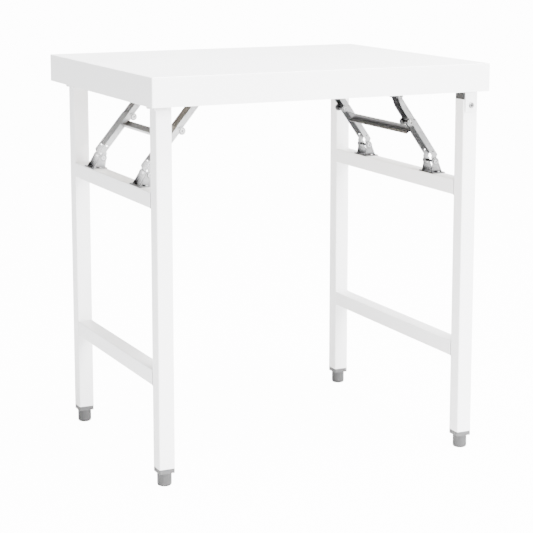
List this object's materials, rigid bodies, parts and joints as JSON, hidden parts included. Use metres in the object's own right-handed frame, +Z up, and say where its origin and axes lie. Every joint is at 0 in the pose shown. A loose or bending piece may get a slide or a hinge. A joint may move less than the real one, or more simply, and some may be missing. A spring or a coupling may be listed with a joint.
{
  "type": "folding work table",
  "caption": "Folding work table with a deep-skirted white top, square-tube leg frames that fold under it, jointed locking braces and screw-in feet.",
  "frame": {"origin": "on the floor under the middle of the top", "axes": "+X to the right end, +Y to the back, +Z up; -Y is the front long side"},
  "size_m": [0.81, 0.66, 0.89],
  "materials": {
    "white_paint": "satin",
    "board": "matt",
    "zinc": "bright zinc",
    "steel": "polished",
    "black_plastic": "matt",
    "grey_plastic": "matt"
  },
  "bodies": {
    "tabletop": {"top_skin": "white_paint", "top_board": "board", "top_screws": "steel", "pivot_bolts": "steel", "leg_bracket_left_front": "white_paint", "leg_bracket_left_back": "white_paint", "leg_bracket_right_front": "white_paint", "leg_bracket_right_back": "white_paint", "brace_anchor_left_front": "zinc", "brace_anchor_left_back": "zinc", "brace_anchor_right_front": "zinc", "brace_anchor_right_back": "zinc", "anchor_rivets_left": "steel", "anchor_rivets_right": "steel"},
    "left_frame": {"leg_left_front": "white_paint", "leg_left_back": "white_paint", "crossbar_left_upper": "white_paint", "crossbar_left_lower": "white_paint", "leg_cap_left_front": "black_plastic", "leg_cap_left_back": "black_plastic", "foot_socket_left_front": "grey_plastic", "foot_socket_left_back": "grey_plastic", "clevis_left_front": "zinc", "clevis_left_back": "zinc", "clevis_rivets_left": "steel", "clevis_screws_left": "steel"},
    "left_lower_braces": {"brace_lower_left_front": "zinc", "brace_lower_left_back": "zinc", "tie_bar_left": "zinc", "knee_rivets_left": "steel"},
    "left_front_upper_brace": {"brace_upper_left_front": "zinc"},
    "left_front_foot": {"foot_left_front": "grey_plastic"},
    "left_back_upper_brace": {"brace_upper_left_back": "zinc"},
    "left_back_foot": {"foot_left_back": "grey_plastic"},
    "right_frame": {"leg_right_front": "white_paint", "leg_right_back": "white_paint", "crossbar_right_upper": "white_paint", "crossbar_right_lower": "white_paint", "leg_cap_right_front": "black_plastic", "leg_cap_right_back": "black_plastic", "foot_socket_right_front": "grey_plastic", "foot_socket_right_back": "grey_plastic", "clevis_right_front": "zinc", "clevis_right_back": "zinc", "clevis_rivets_right": "steel", "clevis_screws_right": "steel"},
    "right_lower_braces": {"brace_lower_right_front": "zinc", "brace_lower_right_back": "zinc", "tie_bar_right": "zinc", "knee_rivets_right": "steel"},
    "right_front_upper_brace": {"brace_upper_right_front": "zinc"},
    "right_front_foot": {"foot_right_front": "grey_plastic"},
    "right_back_upper_brace": {"brace_upper_right_back": "zinc"},
    "right_back_foot": {"foot_right_back": "grey_plastic"}
  },
  "joints": [
    {"name": "left_fold", "type": "hinge", "parent": "tabletop", "child": "left_frame", "pos_m": [-0.3675, 0, 0.8315], "axis": [0, -1, 0], "range_deg": [0, 90]},
    {"name": "right_fold", "type": "hinge", "parent": "tabletop", "child": "right_frame", "pos_m": [0.361, 0, 0.797], "axis": [0, 1, 0], "range_deg": [0, 90]},
    {"name": "left_front_upper_brace_turn", "type": "hinge", "parent": "tabletop", "child": "left_front_upper_brace", "pos_m": [-0.21526, -0.147, 0.84146], "axis": [0, 1, 0], "range_deg": [0, 55.88]},
    {"name": "left_back_upper_brace_turn", "type": "hinge", "parent": "tabletop", "child": "left_back_upper_brace", "pos_m": [-0.21526, 0.147, 0.84146], "axis": [0, 1, 0], "range_deg": [0, 55.88]},
    {"name": "left_knee", "type": "hinge", "parent": "left_front_upper_brace", "child": "left_lower_braces", "pos_m": [-0.27201, -0.147, 0.75516], "axis": [0, -1, 0], "range_deg": [0, 190.94]},
    {"name": "right_lower_brace_turn", "type": "hinge", "parent": "right_frame", "child": "right_lower_braces", "pos_m": [0.357, 0, 0.6515], "axis": [0, 1, 0], "range_deg": [0, 37.04]},
    {"name": "right_front_knee", "type": "hinge", "parent": "right_lower_braces", "child": "right_front_upper_brace", "pos_m": [0.29104, -0.16, 0.7457], "axis": [0, -1, 0], "range_deg": [0, 181.5]},
    {"name": "right_back_knee", "type": "hinge", "parent": "right_lower_braces", "child": "right_back_upper_brace", "pos_m": [0.29104, 0.16, 0.7457], "axis": [0, -1, 0], "range_deg": [0, 181.5]},
    {"name": "left_front_foot_screw_out", "type": "slide", "parent": "left_frame", "child": "left_front_foot", "axis": [0, 0, -1], "range_m": [0, 0.025]},
    {"name": "left_back_foot_screw_out", "type": "slide", "parent": "left_frame", "child": "left_back_foot", "axis": [0, 0, -1], "range_m": [0, 0.025]},
    {"name": "right_front_foot_screw_out", "type": "slide", "parent": "right_frame", "child": "right_front_foot", "axis": [0, 0, -1], "range_m": [0, 0.025]},
    {"name": "right_back_foot_screw_out", "type": "slide", "parent": "right_frame", "child": "right_back_foot", "axis": [0, 0, -1], "range_m": [0, 0.025]}
  ],
  "couplings": [
    {"joint": "left_front_upper_brace_turn", "follows": "left_fold", "ratio": 0.62072},
    {"joint": "left_back_upper_brace_turn", "follows": "left_fold", "ratio": 0.62072},
    {"joint": "left_knee", "follows": "left_fold", "ratio": 2.1214},
    {"joint": "right_lower_brace_turn", "follows": "right_fold", "ratio": 0.41136},
    {"joint": "right_front_knee", "follows": "right_fold", "ratio": 2.0165},
    {"joint": "right_back_knee", "follows": "right_fold", "ratio": 2.0165}
  ]
}
